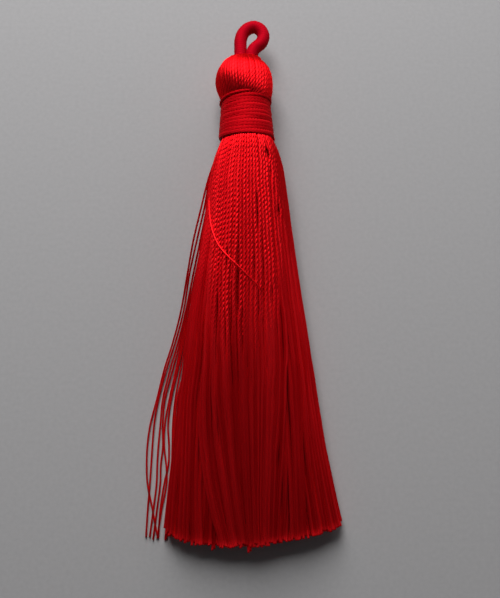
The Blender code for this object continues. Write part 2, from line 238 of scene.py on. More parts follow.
# Head: the outline of its thread centres, from under the binding to the loop's mouth
HEAD_AXIS = (0.05, 5.1)           # x and z
HEAD_OUTLINE = (                  # y, radius at the left and at the right
    (-4.2, 3.2, 4.0), (-3.5, 3.47, 4.37), (-3.0, 3.78, 4.61), (-2.4, 4.08, 4.79),
    (-1.7, 4.39, 4.91), (-0.9, 4.68, 4.96), (0.0, 4.84, 4.95), (0.9, 4.8, 4.84),
    (1.8, 4.61, 4.6), (2.7, 4.27, 4.1), (3.5, 3.85, 3.4), (4.1, 3.35, 2.8),
)
HEAD_FULL = 0.5                   # the angle at which the head is fullest
HEAD_SQUARE = 0.07                # how much squarer than round it is there
MOUTH_MIDDLE = (0.4, 5.1)
MOUTH_OUTLINE = (                 # y, half width, half height
    (4.7, 2.7, 2.1), (5.0, 2.4, 1.6), (4.95, 2.2, 1.3), (4.3, 2.1, 1.15),
)
HEAD_THREADS = 58
HEAD_THREAD = (0.45, 0.26)        # half a thread's width and thickness
HEAD_JITTER = 0.15                # how unevenly they lie, as a share of their spacing
HEAD_SHADE = (0.35, 0.75)
HEAD_LAY = 1.5                    # how far their strands stand out
HEAD_LEAN = -0.06                 # how far their fibres lean, in turns
HEAD_CROWD = (2.0, 4.9)           # y, where they crowd together towards the mouth
HEAD_CROWDED = 0.75               # how thin they are there
HEAD_SUNK = (0.0, 0.1, 0.05)      # and how far each of three sinks there
HEAD_STEP = 0.22
HEAD_SIDES = 10
HEAD_CORE_RADIUS = 4.6
HEAD_CORE_FLATS = (4.15, -3.0)    # y, where it is cut flat, by the loop and by the neck

# Binding: one thread wound round the neck
BINDING_AXIS = (0.38, 0.55)       # x, at the head and at the skirt
BINDING_HEIGHT = 5.05
BINDING_FROM, BINDING_TO = 3.45, 10.6
BINDING_TURNS = 13
BINDING_RADIUS = (4.2, 4.8)       # of the thread's centre, at the head and at the skirt
BINDING_WIDE = 0.5                # half the thread's width and thickness, pressed flat
BINDING_THIN = 0.13
BINDING_RIPPLE = (0.01, 0.03)     # the height of each wave by which it wanders
BINDING_RIPPLE_RATES = (0.31, 0.73, 1.37, 2.41, 3.63)    # their waves a turn
BINDING_WOBBLE = 3.6              # how unevenly its turns lie beside one another for that
BINDING_HEAVE = 0.7               # and how unevenly over one another
BINDING_SHADE = (0.5, 0.45)       # its middle, and how much it differs
BINDING_SHADE_RATES = (0.37, 0.11)     # the waves of that a turn
BINDING_LOBE = 0.2                # how much its twist swells and narrows it
BINDING_PITCH = 1.15
BINDING_LAY = 1.0
BINDING_LIP = 0.16                # how far the first turn stands out
BINDING_LIP_WIDE = 0.27
BINDING_LIP_TURNS = (1.0, 1.4)    # where that ends
BINDING_GAP = 0.3                 # how far the first turn stands off the second at the left
BINDING_LEAN = 1.2                # how far the last turn's top leans to the tips
BINDING_SKEW = 0.4                # how far the first turn's left side leans to the tips
BINDING_STEP = 0.26
BINDING_SIDES = 12
NECK_CORE_PAST = (0.2, 0.05)      # how far the core goes past the binding, head and skirt
NECK_CORE_FLATS = 0.1             # how much is cut off it at each end
CORE_UNDER = 0.1                  # how far it stays under the binding thread's centre

# Hanging loop: a round cord
CORD_RADIUS = 1.16
CORD_ROUTE = (                    # x, y, drop below the head's axis
    (-0.55, 2.7, 0.0), (-0.55, 5.0, 0.0), (-0.57, 7.0, 0.05), (-0.55, 8.8, 0.15),
    (-0.1, 10.4, 0.3), (0.85, 11.45, 0.4), (2.0, 11.8, 0.45), (3.05, 11.2, 0.4),
    (3.62, 9.9, 0.3), (3.25, 8.4, 0.12), (1.9, 6.95, -0.08), (1.38, 5.6, -0.12),
    (1.35, 4.4, 0.0), (1.3, 2.7, 0.0),
)
CORD_RIDGE = 0.025                # the depth of the ridges of its winding
CORD_RIDGE_PITCH = 0.42
CORD_SHADE = 0.5
CORD_STEP = 0.1
CORD_SIDES = 24

RIM_INSET, RIM_RISE = 0.5, 0.3    # of the rounded rim where a core is cut flat

# Light: places and sizes in metres, power in watts
Light = namedtuple("Light", "name place aim size size_y power colour")
LIGHTS = (
    Light("window", (-0.05, 0.22, 0.23), (0.0, -0.02, 0.0), 0.2, 0.32, 1.5, (0.985, 0.99, 1.0)),
    Light("window_low", (0.2, 0.48, 0.14), (0.0, 0.0, 0.0), 0.4, 0.22, 0.75, (0.985, 0.99, 1.0)),
    Light("left_fill", (-0.6, -0.05, 0.25), (0.0, -0.04, 0.0), 0.5, 0.4, 0.085, (1.0, 0.99, 1.0)),
    Light("right_fill", (0.3, 0.015, 0.1), (0.0, -0.02, 0.0), 0.15, 0.12, 0.04, (1.0, 0.99, 1.0)),
)
ROOM_COLOUR = (0.9, 0.95, 1.0)
ROOM_STRENGTH = 0.04

# Camera: its place and how far it is turned up from looking straight down
CAMERA_PLACE = (1.17, -70.51, 133.16)
CAMERA_TILT = 13.5                # degrees
CAMERA_LENS, CAMERA_SENSOR = 47.14, 36.0


# ---------------------------------------------------------------- materials
def new_material(name, roughness, gloss):
    """A new material, its nodes, its links and its shader."""
    material = bpy.data.materials.new(name)
    material.use_nodes = True
    nodes = material.node_tree.nodes
    shader = nodes["Principled BSDF"]
    shader.inputs["Roughness"].default_value = roughness
    shader.inputs["Specular IOR Level"].default_value = gloss
    return material, nodes, material.node_tree.links, shader


def colour_between(nodes, links, shader, share, dark, light):
    """Colour the shader from dark, where the share is 0, to light, where it is 1."""
    ramp = nodes.new("ShaderNodeMix")
    ramp.data_type = "RGBA"
    ramp.inputs[6].default_value = (*dark, 1.0)
    ramp.inputs[7].default_value = (*light, 1.0)
    links.new(share, ramp.inputs[0])
    links.new(ramp.outputs[2], shader.inputs["Base Color"])


def silk(name, dark, light, roughness, across, metallic, gloss, lay=None):
    """Silk: each thread its own shade, and a sheen that spreads across its fibres.

    lay gives the fibres' lean where that is the same all over. Without it the lean is
    read from the mesh.
    """
    material, nodes, links, shader = new_material(name, roughness, gloss)
    shader.inputs["Metallic"].default_value = metallic
    shader.inputs["Anisotropic"].default_value = across
    shader.inputs["Specular Tint"].default_value = (*SILK_TINT, 1.0)
    shade = nodes.new("ShaderNodeAttribute")
    shade.attribute_name = "shade"
    colour_between(nodes, links, shader, shade.outputs["Fac"], dark, light)

    # Height: the strands that wind round a twisted thread, and the fibres along it
    place = nodes.new("ShaderNodeUVMap")
    place.uv_map = "thread"
    turn = nodes.new("ShaderNodeVectorMath")
    turn.operation = "DOT_PRODUCT"
    turn.inputs[1].default_value = (2.0 * math.pi * STRAND_COUNT,
                                    -2.0 * math.pi / STRAND_STEP, 0.0)
    strand = nodes.new("ShaderNodeMath")
    strand.operation = "SINE"
    twist = nodes.new("ShaderNodeAttribute")
    twist.attribute_name = "twist"
    strands = nodes.new("ShaderNodeMath")
    strands.operation = "MULTIPLY"
    stretch = nodes.new("ShaderNodeMapping")
    stretch.inputs["Scale"].default_value = FIBRE_STRETCH
    fibres = nodes.new("ShaderNodeTexNoise")
    fibres.inputs["Scale"].default_value = 1.0
    fibres.inputs["Detail"].default_value = 2.0
    relief = nodes.new("ShaderNodeMath")
    relief.operation = "MULTIPLY_ADD"
    relief.inputs[1].default_value = FIBRE_DEPTH / STRAND_DEPTH
    bump = nodes.new("ShaderNodeBump")
    bump.inputs["Strength"].default_value = 1.0
    bump.inputs["Distance"].default_value = STRAND_DEPTH * MM
    links.new(place.outputs["UV"], turn.inputs[0])
    links.new(turn.outputs["Value"], strand.inputs[0])
    links.new(strand.outputs["Value"], strands.inputs[0])
    links.new(twist.outputs["Fac"], strands.inputs[1])
    links.new(place.outputs["UV"], stretch.inputs["Vector"])
    links.new(stretch.outputs["Vector"], fibres.inputs["Vector"])
    links.new(fibres.outputs["Fac"], relief.inputs[0])
    links.new(strands.outputs["Value"], relief.inputs[2])
    links.new(relief.outputs["Value"], bump.inputs["Height"])
    links.new(bump.outputs["Normal"], shader.inputs["Normal"])

    # Sheen: it spreads across the fibres, which lean in a twisted thread
    run = nodes.new("ShaderNodeTangent")
    run.direction_type = "UV_MAP"
    run.uv_map = "thread"
    links.new(run.outputs["Tangent"], shader.inputs["Tangent"])
    if lay is None:
        lean = nodes.new("ShaderNodeAttribute")
        lean.attribute_name = "lean"
        links.new(lean.outputs["Fac"], shader.inputs["Anisotropic Rotation"])
    else:
        shader.inputs["Anisotropic Rotation"].default_value = (lay * FIBRE_TURN) % 1.0
    return material


def grained(name, dark, light, grain, roughness, gloss):
    """A plain matt finish with a fine grain."""
    material, nodes, links, shader = new_material(name, roughness, gloss)
    place = nodes.new("ShaderNodeTexCoord")
    cloud = nodes.new("ShaderNodeTexNoise")
    cloud.inputs["Scale"].default_value = grain
    cloud.inputs["Detail"].default_value = 2.0
    links.new(place.outputs["Object"], cloud.inputs["Vector"])
    colour_between(nodes, links, shader, cloud.outputs["Fac"], dark, light)
    return material


# ---------------------------------------------------------------- paths and tubes
def mix(a, b, share):
    """The value a share of the way from a to b."""
    return a + (b - a) * share


def share_between(value, limits):
    """How far a value is between two limits, from 0 to 1, easing in and out."""
    t = np.clip((value - limits[0]) / (limits[1] - limits[0]), 0.0, 1.0)
    return t * t * (3.0 - 2.0 * t)


def unit(vectors):
    """Vectors of length one."""
    return vectors / np.maximum(np.linalg.norm(vectors, axis=-1, keepdims=True), 1e-9)


def smooth_path(knots, places, samples):
    """A smooth curve through points that belong to rising places, read at the samples."""
    slope = np.gradient(knots, places, axis=0)
    k = np.clip(np.searchsorted(places, samples) - 1, 0, len(places) - 2)
    span = (places[k + 1] - places[k])[:, None]
    t = (samples - places[k])[:, None] / span
    return ((2 * t ** 3 - 3 * t ** 2 + 1) * knots[k] + (t ** 3 - 2 * t ** 2 + t) * span * slope[k]
            + (3 * t ** 2 - 2 * t ** 3) * knots[k + 1] + (t ** 3 - t ** 2) * span * slope[k + 1])


def run_length(path):
    """How far along its own length each point of a path is."""
    return np.concatenate(((0.0,), np.cumsum(np.linalg.norm(np.diff(path, axis=0), axis=1))))


def even_path(points, step):
    """A smooth curve through the points, with samples about a step apart."""
    points = np.array(points, dtype=float)
    places = run_length(points)
    count = max(4, int(round(places[-1] / step)) + 1)
    return smooth_path(points, places, np.linspace(0.0, places[-1], count))


def frames(path, up):
    """A side direction and a raised one at each point, square to the path."""
    run = unit(np.gradient(path, axis=0))
    side = unit(np.cross(np.broadcast_to(up, path.shape), run))
    return side, np.cross(run, side)


class Tubes:
    """Closed tubes, gathered into one mesh."""

    def __init__(self):
        self.verts = []
        self.quads = []
        self.caps = []
        self.quad_uv = []
        self.cap_uv = []
        self.shade = []
        self.lay = []
        self.lean = []
        self.count = 0

    def add(self, path, side, lift, radius, sides, shade, lay=0.0, start=0.0, lean=None):
        """One tube. radius is one number, or one for each point and side.

        lay is how far its twisted strands stand out, start is where its own length
        starts to count, and lean is its fibres' lean in turns, or else follows from lay.
        """
        rings = len(path)
        angle = np.arange(sides) * 2.0 * math.pi / sides
        radius = np.broadcast_to(np.asarray(radius, dtype=float), (rings, sides))
        around = (np.cos(angle)[None, :, None] * side[:, None, :]
                  + np.sin(angle)[None, :, None] * lift[:, None, :])
        skin = path[:, None, :] + radius[:, :, None] * around
        ends = np.stack((path[0], path[-1]))
        self.verts.append(np.concatenate((skin.reshape(-1, 3), ends)))
        ring, place = np.meshgrid(np.arange(rings - 1), np.arange(sides), indexing="ij")
        after = (place + 1) % sides
        quads = np.stack((ring * sides + place, ring * sides + after,
                          (ring + 1) * sides + after, (ring + 1) * sides + place), axis=-1)
        self.quads.append(quads.reshape(-1, 4) + self.count)
        length = start + run_length(path)
        u, v = place / sides, length[ring]
        u2, v2 = (place + 1) / sides, length[ring + 1]
        corners = np.stack((np.stack((u, v), -1), np.stack((u2, v), -1),
                            np.stack((u2, v2), -1), np.stack((u, v2), -1)), axis=2)
        self.quad_uv.append(corners.reshape(-1, 2))
        k = np.arange(sides)
        first = np.stack((k, np.full(sides, rings * sides), (k + 1) % sides), axis=-1)
        last = (rings - 1) * sides
        final = np.stack((last + k, last + (k + 1) % sides,
                          np.full(sides, rings * sides + 1)), axis=-1)
        self.caps.append(np.concatenate((first, final)) + self.count)
        self.cap_uv.append(np.tile(np.array(((0.0, 0.0), (0.5, 0.0), (0.2, 0.1))),
                                   (2 * sides, 1)))
        self.shade.append(np.broadcast_to(np.asarray(shade, dtype=float),
                                          (rings,)).repeat(sides))
        self.shade.append(np.full(2, float(np.mean(shade))))
        self.lay.append(np.broadcast_to(np.asarray(lay, dtype=float), (rings,)).repeat(sides))
        self.lay.append(np.zeros(2))
        lean = np.asarray(lay) * FIBRE_TURN if lean is None else np.asarray(lean)
        self.lean.append(np.broadcast_to(lean, (rings,)).repeat(sides))
        self.lean.append(np.zeros(2))
        self.count += rings * sides + 2

    def make(self, name, material):
        """The mesh object of all the tubes."""
        verts = np.concatenate(self.verts) * MM
        quads = np.concatenate(self.quads)
        caps = np.concatenate(self.caps)
        mesh = bpy.data.meshes.new(name)
        mesh.vertices.add(len(verts))
        mesh.vertices.foreach_set("co", verts.ravel())
        corners = np.concatenate((quads.ravel(), caps.ravel()))
        mesh.loops.add(len(corners))
        mesh.loops.foreach_set("vertex_index", corners.astype(np.int32))
        mesh.polygons.add(len(quads) + len(caps))
        starts = np.concatenate((np.arange(len(quads)) * 4,
                                 4 * len(quads) + np.arange(len(caps)) * 3))
        mesh.polygons.foreach_set("loop_start", starts.astype(np.int32))
        uv = mesh.uv_layers.new(name="thread")
        uv.data.foreach_set("uv", np.concatenate(self.quad_uv + self.cap_uv).ravel())
        tone = mesh.attributes.new("shade", "FLOAT", "POINT")
        tone.data.foreach_set("value", np.concatenate(self.shade))
        twisted = mesh.attributes.new("twist", "FLOAT", "POINT")
        twisted.data.foreach_set("value", np.concatenate(self.lay))
        leaning = mesh.attributes.new("lean", "FLOAT", "POINT")
        leaning.data.foreach_set("value", np.concatenate(self.lean))
        mesh.update(calc_edges=True)
        mesh.validate()
        mesh.shade_smooth()
        mesh.materials.append(material)
        piece = bpy.data.objects.new(name, mesh)
        bpy.context.collection.objects.link(piece)
        return piece


def oval(sides, wide, flat):
    """The reach of an oval section at each side, for each point of a path."""
    angles = np.arange(sides) * 2.0 * math.pi / sides
    return 1.0 / np.sqrt((np.cos(angles)[None, :] / wide[:, None]) ** 2
                         + (np.sin(angles)[None, :] / flat[:, None]) ** 2)


def loosen(tubes, path, up, phase, loose, thin, stout, sides, shades, shorter, lay, start):
    """Two plies that turn at first, and lie side by side as flat locks where loose is 1.

    phase is how far they have turned at each ring, thin scales them all over, stout is
    how much thicker a lock is, and shorter is the rings that each ply leaves out at its end.
    """
    side, lift = frames(path, up)
    for hand, shade, less in zip((1.0, -1.0), shades, shorter):
        across = mix(PLY_OFFSET * np.cos(phase), FRAY_OFFSET, loose) * hand * thin
        rise = mix(PLY_OFFSET * np.sin(phase), 0.0, loose) * hand * thin
        ply = path + across[:, None] * side + rise[:, None] * lift
        ply_side, ply_lift = frames(ply, up)
        wide = mix(PLY_RADIUS, FRAY_WIDE, loose) * thin
        flat = mix(PLY_RADIUS, FRAY_THIN * stout, loose) * thin
        rings = len(path) - less
        tubes.add(ply[:rings], ply_side[:rings], ply_lift[:rings],
                  oval(sides, wide, flat)[:rings], sides, shade[:rings],
                  mix(lay, 0.0, loose)[:rings], start,
                  mix(LAY * FIBRE_TURN, 0.0, loose)[:rings])


# ---------------------------------------------------------------- skirt
class Bundle:
    """The skirt's section at one distance along."""

    def __init__(self, along):
        table = np.array(SKIRT)
        left, right, base, top, middle = (np.interp(along, table[:, 0], table[:, k])
                                          for k in range(1, 6))
        spread = share_between(along, POWER_SPREAD)
        self.middle_x = 0.5 * (left + right)
        self.half = 0.5 * (right - left)
        self.level = mix(base, top, middle)
        self.above = top - self.level
        self.below = self.level - base
        self.top_power = mix(*TOP_POWER, spread)
        self.under_power = mix(*UNDER_POWER, spread)

    def shares(self, points):
        """Points as shares of the way from the middle to the outline."""
        a = (points[:, 0] - self.middle_x) / self.half
        rise = points[:, 1] - self.level
        return a, np.where(rise > 0.0, rise / self.above, rise / self.below)

    def points(self, a, b):
        """The points at these shares."""
        return np.stack((self.middle_x + a * self.half,
                         self.level + np.where(b > 0.0, b * self.above, b * self.below)), -1)

    def reach(self, a, b):
        """1 on the outline and less inside it."""
        power = np.where(b > 0.0, self.top_power, self.under_power)
        return (np.abs(a) ** power + np.abs(b) ** power) ** (1.0 / power)

    def outward(self, points):
        """The direction out of the bundle at each point."""
        a, b = self.shares(points)
        power = np.where(b > 0.0, self.top_power, self.under_power)
        reach_x = np.sign(a) * np.abs(a) ** (power - 1.0) / self.half
        reach_z = np.sign(b) * np.abs(b) ** (power - 1.0) / np.where(b > 0.0, self.above,
                                                                     self.below)
        return unit(np.stack((reach_x, reach_z), -1) + 1e-6)

    def inside(self, points):
        """The points, with those outside the outline brought onto it."""
        a, b = self.shares(points)
        out = np.maximum(self.reach(a, b), 1.0)
        return self.points(a / out, b / out)

    def spacing(self):
        """How far apart the threads lie when they fill the section evenly."""
        def fill(power):
            return math.gamma(1 + 1 / power) ** 2 / math.gamma(1 + 2 / power)
        area = 2.0 * self.half * (self.above * fill(self.top_power)
                                  + self.below * fill(self.under_power))
        return math.sqrt(area / (ROW_SPACING * THREADS))


def neck_places(bundle, count):
    """Thread centres in the tied neck, in rings."""
    places = []
    weights = np.arange(NECK_RINGS, 0, -1) - 0.5
    numbers = np.round(count * weights / weights.sum()).astype(int)
    numbers[0] += count - numbers.sum()
    for ring, number in enumerate(numbers):
        share = 1.0 - ring / NECK_RINGS
        angle = (np.arange(number) + 0.5 * (ring % 2)) * 2.0 * math.pi / number
        places.append(bundle.points(share * np.cos(angle), share * np.sin(angle)))
    return np.concatenate(places)


def push_apart(target, bundle):
    """Spread the threads evenly over the section, each near its target."""
    points = target
    spacing = ROOM * bundle.spacing()
    itself = np.eye(len(points), dtype=np.float32) * 1e6
    for _ in range(RELAX_STEPS):
        x, z = points.astype(np.float32).T
        across, rise = x[:, None] - x[None, :], z[:, None] - z[None, :]
        far = np.sqrt(across * across + rise * rise) + itself
        press = np.maximum(1.0 / far - 1.0 / spacing, 0.0)
        push = np.stack(((across * press).sum(1), (rise * press).sum(1)), -1)
        points = points + PUSH * spacing * push
        points = bundle.inside(points + PULL * (target - points))
    return points


def lay_threads(rng):
    """The centre line of every skirt thread: x and z at each station."""
    stations = np.arange(STATION_FIRST, STATION_LAST, STATION_STEP)
    bundle = Bundle(stations[0])
    points = neck_places(bundle, THREADS)
    drift = np.zeros((THREADS, 2))
    laid = []
    for along in stations:
        a, b = bundle.shares(points)
        bundle = Bundle(along)
        step = rng.normal(0.0, WANDER, (THREADS, 2))
        drift = DRIFT_KEPT * drift + step * (along > WANDER_FROM)
        target = bundle.inside(bundle.points(a + drift[:, 0], b + drift[:, 1]))
        points = push_apart(target, bundle)
        laid.append(np.stack(bundle.shares(points), -1))
    laid = np.array(laid)
    for _ in range(SMOOTH_STEPS):
        laid[1:-1] = 0.25 * laid[:-2] + 0.5 * laid[1:-1] + 0.25 * laid[2:]
    for k, along in enumerate(stations):
        laid[k] = Bundle(along).points(*laid[k].T)
        laid[k] += part_grooves(laid[k], along)
    return stations, laid


def part_grooves(points, along):
    """How far each thread moves aside for the grooves at one station."""
    bundle = Bundle(along)
    upper = share_between(bundle.shares(points)[1], (0.0, GROOVE_FULL))
    move = np.zeros(points.shape)
    for groove in GROOVES:
        share = (along - groove.along_from) / (groove.along_to - groove.along_from)
        if -GROOVE_ENDS < share < 1.0 + GROOVE_ENDS:
            away = points[:, 0] - mix(groove.x_from, groove.x_to, share)
            side = np.clip(away / GROOVE_HALF, -1.0, 1.0)
            move[:, 0] += groove.parting * side * np.exp(-np.abs(away) / GROOVE_REACH) * upper
    return move


def exposed(points):
    """Which threads show at one station, from above or from a side."""
    x, z = points[:, 0], points[:, 1]
    near_x = np.abs(x[:, None] - x[None, :]) < HIDES_WITHIN
    near_z = np.abs(z[:, None] - z[None, :]) < HIDES_WITHIN
    over = (near_x & (z[None, :] > z[:, None] + HIDES_BEYOND)).sum(1)
    right = (near_z & (x[None, :] > x[:, None] + HIDES_BEYOND)).sum(1)
    left = (near_z & (x[None, :] < x[:, None] - HIDES_BEYOND)).sum(1)
    return (over <= 1) | (right <= 1) | (left <= 1)


def ring_places(stations, shows, end):
    """Where a thread's rings go: close together where it shows."""
    places = [STATION_FIRST + ROOT_LENGTH]
    while places[-1] < end:
        along = places[-1]
        k = int(np.clip((along - stations[0]) / STATION_STEP, 0, len(stations) - 2))
        if shows[max(0, k - 1):k + 3].any():
            step = mix(FINE_STEP, LONG_STEP, share_between(along, FINE_TO_LONG))
        else:
            step = HIDDEN_STEP
        places.append(along + step)
    places = np.array(places)
    ends = end - np.array(END_RINGS)
    return np.concatenate((places[places < ends[0] - 0.1], ends))


def long_threads(tips):
    """How much longer than the cut each of the few long threads is."""
    x, z = tips.T
    return {int(np.argmax(z - LONG_TIP_REACH * np.abs(x - place))): more
            for place, more in LONG_TIPS}


def cut_end(rng, tip_x, tip_z):
    """How far along a thread is cut, where its tip lies here."""
    table = np.array(CUT)
    end = np.interp(tip_x, table[:, 0], table[:, 1])
    end -= CUT_UNDER * np.clip(1.0 - tip_z / CUT_UNDER_Z, 0.0, 1.0)
    return end + rng.uniform(-CUT_RAGGED, CUT_RAGGED)


def twist_turned(rng, along, loose):
    """How far a thread's plies have turned round one another at each ring."""
    pitch = TWIST_PITCH * (1.0 + TWIST_VARIES * rng.normal())
    rate = 2.0 * math.pi / mix(pitch, LOOSE_PITCH, loose)
    turned = np.cumsum(0.5 * (rate[1:] + rate[:-1]) * np.diff(along))
    return rng.uniform(0.0, 2.0 * math.pi) + np.concatenate(((0.0,), turned))


def ply_shades(rng, along, loose, spread, end):
    """The shade of a thread's two plies at each ring, with a painted highlight at the cut end."""
    own = rng.uniform(*THREAD_SHADE)
    shades = []
    for _ in range(2):
        lock = rng.uniform(-spread, spread) * loose
        wave = SHADE_WAVE * np.sin(along * rng.uniform(*SHADE_WAVE_RATE) + rng.uniform(0.0, 6.0))
        shades.append(np.clip(own + lock + wave, 0.0, 1.0))
    # painted highlight: the last stretch before the cut is painted lighter, for the light that the
    # frayed ends catch
    cut = CUT_PAINTED_LIGHT * share_between(along, (end - CUT_PAINTED_LIGHT_LENGTH, end))
    return [shade + cut for shade in shades]


def build_skirt(material):
    """All the threads of the skirt, in a few pieces."""
    rng = np.random.default_rng(SEED)
    stations, laid = lay_threads(rng)
    shows = np.array([exposed(points) for points in laid])
    spacings = [Bundle(along).spacing() for along in stations]
    flaring = laid[int(np.searchsorted(stations, FLARE_ALONG))]
    across, rise = Bundle(FLARE_ALONG).outward(flaring).T
    outward = np.stack((across, np.zeros(THREADS), rise), -1)
    tips = laid[CUT_STATION]
    longer = long_threads(tips)
    sideways = share_between(np.abs(Bundle(stations[CUT_STATION]).shares(tips)[0]), SIDES)
    groups = [Tubes() for _ in range(SKIRT_PIECES)]
    order = np.argsort(laid[len(stations) // 2, :, 0])
    for place, thread in enumerate(order):
        route = laid[:, thread]
        tip_x, tip_z = tips[thread]
        end = cut_end(rng, tip_x, tip_z) + longer.get(thread, 0.0)
        along = ring_places(stations, shows[:, thread], end)
        middle = smooth_path(route, stations, along)
        path = np.stack((middle[:, 0], -along, middle[:, 1]), -1)
        flare = np.clip((along - end + FLARE_LENGTH) / FLARE_LENGTH, 0.0, 1.0) ** 2
        path += FLARE * flare[:, None] * outward[thread] * min(1.0, tip_z / FLARE_Z)
        loosens = np.interp(np.interp(LOOSENS_ALONG, stations, route[:, 0]),
                            LOOSENS_X, LOOSENS_AT)
        loosens += rng.uniform(-LOOSENS_SPREAD, LOOSENS_SPREAD)
        loose = share_between(along, (loosens + LOOSENS_OVER[0], loosens + LOOSENS_OVER[1]))
        phase = twist_turned(rng, along, loose)
        thin = mix(1.0, TIP_THIN, share_between(along, (end - TIP_THIN_LENGTH, end)))
        thin = thin * np.interp(along, stations, spacings) / THREAD_PITCH
        thin = thin * (1.0 + SIDES_SWELL * sideways[thread] * loose)
        stout = 1.0 + SIDES_STOUT * sideways[thread]
        spread = LOCK_SHADE * (1.0 - SIDES_EVEN * sideways[thread])
        shades = ply_shades(rng, along, loose, spread, end)
        calm = CALM[0] * share_between(np.interp(CALM_ALONG, stations, route[:, 0]), CALM[1:])
        up = mix(UP, outward[thread], share_between(along, FRAY_TURNS)[:, None])
        sides = PLY_SIDES if shows[:, thread].any() else HIDDEN_SIDES
        path[:, 2] = np.maximum(path[:, 2], FLOOR_GAP + PLY_RADIUS * thin)
        loosen(groups[place * SKIRT_PIECES // THREADS], path, unit(up), phase, loose, thin,
               stout, sides, shades, rng.integers(0, TIP_RINGS_LESS, 2), LAY * (1.0 - calm),
               rng.uniform(0.0, 10.0))
    return [tubes.make(f"skirt_threads_{k + 1}", material)
            for k, tubes in enumerate(groups)]


def build_strays(material):
    """The loose threads beside the skirt and the one across it."""
    rng = np.random.default_rng(SEED + 1)
    tubes = Tubes()
    places = np.array(LOOSE_ALONG)
    for row in LOOSE_X:
        knots = np.stack((row, LOOSE_Z), -1)
        end = places[-1] + rng.uniform(-LOOSE_RAGGED, LOOSE_RAGGED)
        along = np.append(np.arange(places[0], end, LOOSE_STEP), end)
        middle = smooth_path(knots, places, along)
        path = np.stack((middle[:, 0], -along, middle[:, 1]), -1)
        side, lift = frames(path, UP)
        free = share_between(along, LOOSE_FREE)
        # painted light: the loose threads turn lighter where they lie free on the floor, and their
        # tone differs at random there
        tubes.add(path, side, lift, mix(*LOOSE_RADIUS, free)[:, None], LOOSE_SIDES,
                  mix(LOOSE_SHADE[0], rng.uniform(*LOOSE_SHADE[1]), free))
    route = []
    for x, along in CROSSING:
        bundle = Bundle(along)
        a = min(CROSSING_SIDEWAYS, abs(x - bundle.middle_x) / bundle.half)
        rise = bundle.above * (1.0 - a ** bundle.top_power) ** (1.0 / bundle.top_power)
        route.append((x, -along, bundle.level + rise + CROSSING_RISE))
    path = even_path(route, CROSSING_STEP)
    length = run_length(path)
    fades = share_between(length, (length[-1] - CROSSING_FADE[0], length[-1] - CROSSING_FADE[1]))
    side, lift = frames(path, UP)
    radius = CROSSING_RADIUS * mix(1.0, CROSSING_END[0], fades)
    tubes.add(path, side, lift, radius[:, None], CROSSING_SIDES, mix(1.0, CROSSING_END[1], fades))
    return tubes.make("stray_threads", material)


# ---------------------------------------------------------------- head, binding, loop
def head_route(angle):
    """One thread over the head, from under the binding to the loop's mouth."""
    points = []
    full = 0.5 + 0.5 * math.cos(angle - HEAD_FULL)
    for y, left, right in HEAD_OUTLINE:
        radius = mix(left, right, full) * (1.0 + HEAD_SQUARE * full * math.sin(2.0 * angle) ** 2)
        points.append((HEAD_AXIS[0] + radius * math.cos(angle), y,
                       HEAD_AXIS[1] + radius * math.sin(angle)))
    for y, half_width, half_height in MOUTH_OUTLINE:
        points.append((MOUTH_MIDDLE[0] + half_width * math.cos(angle), y,
                       MOUTH_MIDDLE[1] + half_height * math.sin(angle)))
    return points


def build_head(material):
    """The threads folded over the head."""
    rng = np.random.default_rng(SEED + 2)
    tubes = Tubes()
    middle = np.array((HEAD_AXIS[0], 0.0, HEAD_AXIS[1]))
    for k in range(HEAD_THREADS):
        angle = 2.0 * math.pi * (k + rng.uniform(-HEAD_JITTER, HEAD_JITTER)) / HEAD_THREADS
        path = even_path(head_route(angle), HEAD_STEP)
        up = unit(path - middle)
        crowd = share_between(path[:, 1], HEAD_CROWD)
        sunk = crowd * HEAD_SUNK[k % len(HEAD_SUNK)]
        path = path - up * sunk[:, None]
        thin = mix(1.0, HEAD_CROWDED, crowd)
        path[:, 2] = np.maximum(path[:, 2], FLOOR_GAP + HEAD_THREAD[0])
        side, lift = frames(path, up)
        section = oval(HEAD_SIDES, HEAD_THREAD[0] * thin, HEAD_THREAD[1] * thin)
        tubes.add(path, side, lift, section, HEAD_SIDES, rng.uniform(*HEAD_SHADE), HEAD_LAY,
                  rng.uniform(0.0, 10.0), HEAD_LEAN)
    return tubes.make("head_threads", material)


